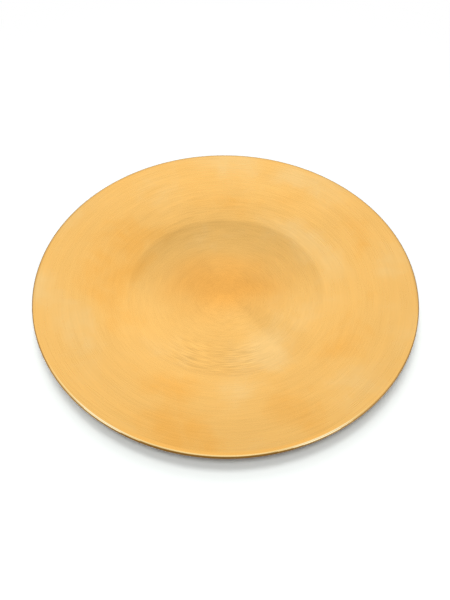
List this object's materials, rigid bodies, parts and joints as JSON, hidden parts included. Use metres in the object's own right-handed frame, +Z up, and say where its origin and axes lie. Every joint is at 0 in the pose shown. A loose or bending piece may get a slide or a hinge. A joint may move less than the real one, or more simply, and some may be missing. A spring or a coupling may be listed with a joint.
{
  "type": "candle plate",
  "caption": "Wide round metal plate with a shallow well for a pillar candle, an arched rim, a rolled wired edge and felt pads under the floor.",
  "frame": {"origin": "on the plate's axis, on the surface that the felt pads stand on", "axes": "+Z up along the plate's axis, out of the well; +X and +Y lie in the table, each midway between two felt pads"},
  "size_m": [0.33, 0.33, 0.0196],
  "materials": {
    "plate_gold": "turned, satin gold with a cloudy patina",
    "wire_steel": "drawn",
    "pad_felt": "pressed felt",
    "pad_adhesive": "double-sided film"
  },
  "bodies": {
    "root": {"spun_plate": "plate_gold", "rim_wire": "wire_steel", "felt_pad_1": "pad_felt", "felt_pad_2": "pad_felt", "felt_pad_3": "pad_felt", "felt_pad_4": "pad_felt", "adhesive_disc_1": "pad_adhesive", "adhesive_disc_2": "pad_adhesive", "adhesive_disc_3": "pad_adhesive", "adhesive_disc_4": "pad_adhesive"}
  },
  "joints": []
}
